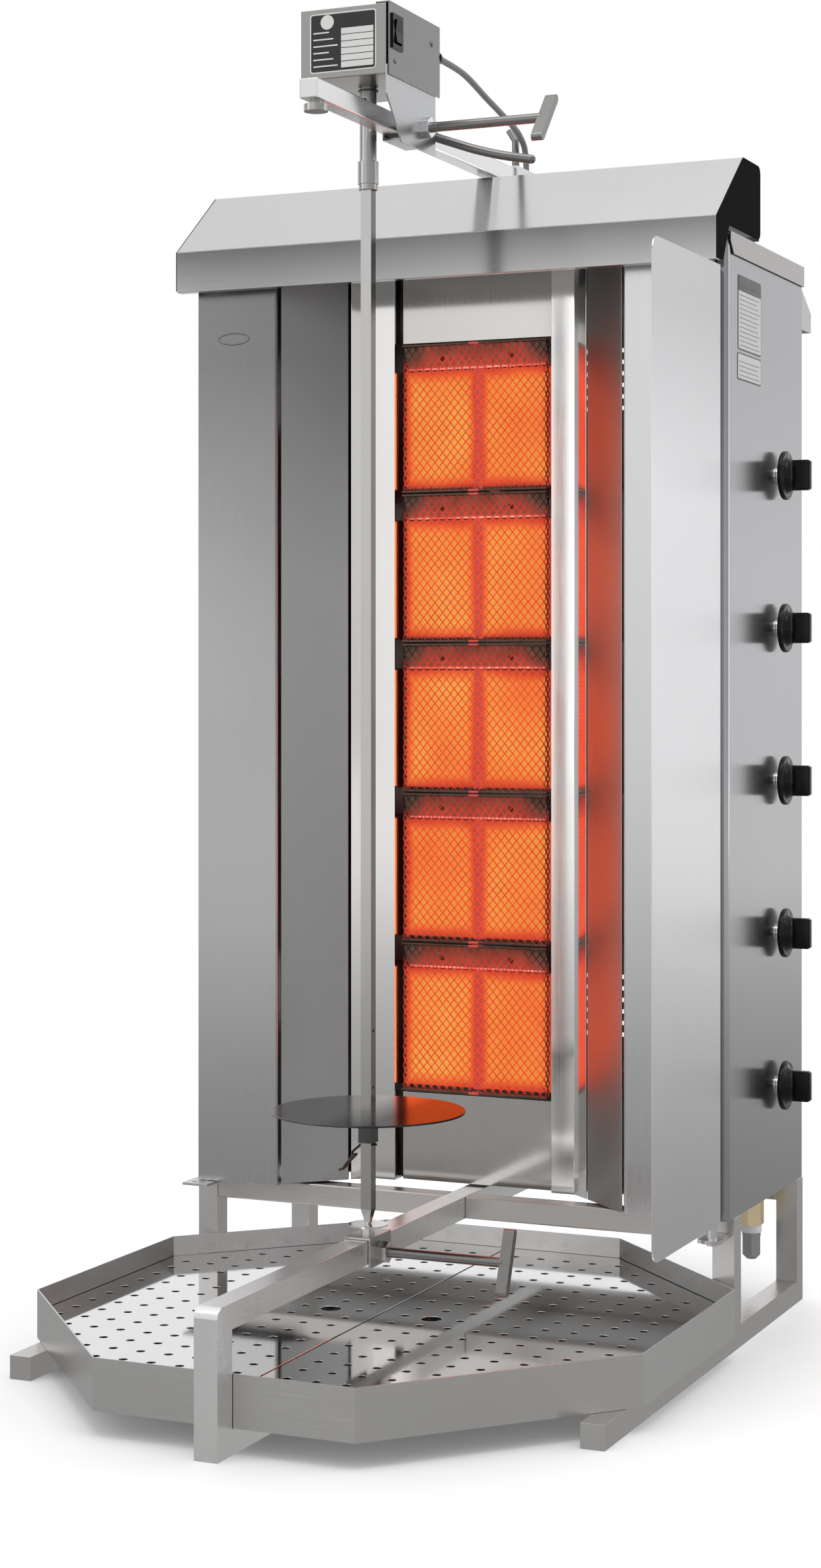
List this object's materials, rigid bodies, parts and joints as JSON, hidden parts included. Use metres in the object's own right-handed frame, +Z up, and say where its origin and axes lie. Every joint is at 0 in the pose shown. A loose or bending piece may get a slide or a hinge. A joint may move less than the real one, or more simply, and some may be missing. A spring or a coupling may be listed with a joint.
{
  "type": "vertical rotisserie broiler",
  "caption": "Upright gas broiler: a turning spit with a carrying disc stands before a glowing burner column, over a drip tray, under a hood with a sliding motor carriage.",
  "frame": {"origin": "point on the spit's axis at floor level, on the underside of the centre rail", "axes": "+X towards the gas knobs on the right side, +Y from the spit towards the burners and the back, +Z up"},
  "size_m": [0.711, 0.913, 1.4317],
  "materials": {
    "frame_steel": "ground square tube, slightly heat-stained",
    "stainless": "brushed stainless sheet",
    "bright_stainless": "bright polished",
    "burner_steel": "heat-darkened steel",
    "hot_ceramic": "perforated ceramic, glowing orange when lit",
    "hot_mesh": "heat-darkened wire mesh",
    "gas_steel": "plated steel",
    "brass": "turned brass",
    "white_seal": "white sealing plastic",
    "black_knob": "gloss black moulding",
    "black_paint": "black enamel",
    "turned_steel": "turned and ground bar",
    "dark_steel": "blackened spring steel",
    "motor_paint": "grey paint",
    "grey_cable": "grey flexible cable"
  },
  "bodies": {
    "chassis": {"side_frames": "frame_steel", "cross_rails": "frame_steel", "lower_arm": "frame_steel", "back_panel": "stainless", "floor_panel": "stainless", "side_panel_left": "stainless", "control_cover": "stainless", "top_cover": "stainless", "front_panels": "stainless", "reflectors": "stainless", "column_strips": "bright_stainless", "column_plates": "stainless", "burner_bodies": "burner_steel", "ceramic_tiles": "hot_ceramic", "mesh_guards": "hot_mesh", "deflector_strips": "burner_steel", "gas_manifold": "gas_steel", "gas_valves": "brass", "knob_bezels": "bright_stainless", "gas_pipes": "gas_steel", "inlet_fitting": "brass", "seal_ring": "white_seal", "inlet_plug": "gas_steel", "hood_shell": "stainless", "hood_ends": "black_paint", "mast": "stainless", "upper_arm": "stainless", "arm_end_stop": "turned_steel", "cable": "grey_cable"},
    "carriage": {"carriage_bracket": "stainless", "motor_casing": "stainless", "motor_cover": "stainless", "gear_motor": "motor_paint", "bent_lever": "turned_steel", "switch_housing": "black_knob"},
    "rocker": {"rocker": "black_knob"},
    "spindle": {"drive_tube": "turned_steel", "retaining_ring": "dark_steel", "spit": "turned_steel", "spit_clip": "turned_steel"},
    "coupling": {"coupling_sleeve": "turned_steel"},
    "disc": {"meat_disc": "stainless"},
    "saddle": {"bearing_cup": "stainless", "saddle": "stainless"},
    "lower_clamp": {"lower_clamp": "turned_steel"},
    "upper_clamp": {"upper_clamp": "turned_steel"},
    "tray": {"tray": "stainless"},
    "tray_plate_left": {"tray_plate_left": "bright_stainless"},
    "tray_plate_right": {"tray_plate_right": "bright_stainless"},
    "wing": {"wing": "stainless"},
    "stem_1": {"valve_stem_1": "bright_stainless"},
    "knob_1": {"knob_1": "black_knob"},
    "stem_2": {"valve_stem_2": "bright_stainless"},
    "knob_2": {"knob_2": "black_knob"},
    "stem_3": {"valve_stem_3": "bright_stainless"},
    "knob_3": {"knob_3": "black_knob"},
    "stem_4": {"valve_stem_4": "bright_stainless"},
    "knob_4": {"knob_4": "black_knob"},
    "stem_5": {"valve_stem_5": "bright_stainless"},
    "knob_5": {"knob_5": "black_knob"}
  },
  "joints": [
    {"name": "carriage_slide", "type": "slide", "parent": "chassis", "child": "carriage", "axis": [0, 1, 0], "range_m": [-0.1, 0.06], "deforming": ["cable"]},
    {"name": "saddle_slide", "type": "slide", "parent": "chassis", "child": "saddle", "axis": [0, 1, 0], "range_m": [-0.1, 0.06]},
    {"name": "spit_spin", "type": "hinge", "parent": "carriage", "child": "spindle", "pos_m": [0, 0, 1.3], "axis": [0, 0, 1], "continuous": true},
    {"name": "coupling_lift", "type": "slide", "parent": "spindle", "child": "coupling", "axis": [0, 0, 1], "range_m": [0, 0.012]},
    {"name": "disc_lift", "type": "slide", "parent": "spindle", "child": "disc", "axis": [0, 0, 1], "range_m": [0, 0.9]},
    {"name": "upper_clamp_turn", "type": "hinge", "parent": "carriage", "child": "upper_clamp", "pos_m": [0.1, 0.033, 1.317], "axis": [1, 0, 0], "range_deg": [0, 360]},
    {"name": "lower_clamp_turn", "type": "hinge", "parent": "saddle", "child": "lower_clamp", "pos_m": [0.1, 0, 0.128], "axis": [1, 0, 0], "range_deg": [0, 360]},
    {"name": "rocker_tilt", "type": "hinge", "parent": "carriage", "child": "rocker", "pos_m": [0.0507, -0.042, 1.402], "axis": [0, 1, 0], "range_deg": [-10, 10]},
    {"name": "wing_swing", "type": "hinge", "parent": "chassis", "child": "wing", "pos_m": [0.316, 0.2, 0.126], "axis": [0, 0, 1], "range_deg": [-85, 100]},
    {"name": "tray_lift", "type": "slide", "parent": "chassis", "child": "tray", "axis": [0, 0, 1], "range_m": [0, 0.02]},
    {"name": "plate_left_lift", "type": "slide", "parent": "tray", "child": "tray_plate_left", "axis": [0, 0, 1], "range_m": [0, 0.015]},
    {"name": "plate_right_lift", "type": "slide", "parent": "tray", "child": "tray_plate_right", "axis": [0, 0, 1], "range_m": [0, 0.015]},
    {"name": "stem_push_1", "type": "slide", "parent": "chassis", "child": "stem_1", "axis": [1, 0, 0], "range_m": [-0.003, 0], "stiffness_N_per_m": 400},
    {"name": "knob_turn_1", "type": "hinge", "parent": "stem_1", "child": "knob_1", "pos_m": [0.34, 0.407, 0.9644], "axis": [1, 0, 0], "range_deg": [0, 210]},
    {"name": "stem_push_2", "type": "slide", "parent": "chassis", "child": "stem_2", "axis": [1, 0, 0], "range_m": [-0.003, 0], "stiffness_N_per_m": 400},
    {"name": "knob_turn_2", "type": "hinge", "parent": "stem_2", "child": "knob_2", "pos_m": [0.34, 0.407, 0.79], "axis": [1, 0, 0], "range_deg": [0, 210]},
    {"name": "stem_push_3", "type": "slide", "parent": "chassis", "child": "stem_3", "axis": [1, 0, 0], "range_m": [-0.003, 0], "stiffness_N_per_m": 400},
    {"name": "knob_turn_3", "type": "hinge", "parent": "stem_3", "child": "knob_3", "pos_m": [0.34, 0.407, 0.6156], "axis": [1, 0, 0], "range_deg": [0, 210]},
    {"name": "stem_push_4", "type": "slide", "parent": "chassis", "child": "stem_4", "axis": [1, 0, 0], "range_m": [-0.003, 0], "stiffness_N_per_m": 400},
    {"name": "knob_turn_4", "type": "hinge", "parent": "stem_4", "child": "knob_4", "pos_m": [0.34, 0.407, 0.4412], "axis": [1, 0, 0], "range_deg": [0, 210]},
    {"name": "stem_push_5", "type": "slide", "parent": "chassis", "child": "stem_5", "axis": [1, 0, 0], "range_m": [-0.003, 0], "stiffness_N_per_m": 400},
    {"name": "knob_turn_5", "type": "hinge", "parent": "stem_5", "child": "knob_5", "pos_m": [0.34, 0.407, 0.2668], "axis": [1, 0, 0], "range_deg": [0, 210]}
  ],
  "couplings": [
    {"joint": "saddle_slide", "follows": "carriage_slide", "ratio": 1}
  ]
}
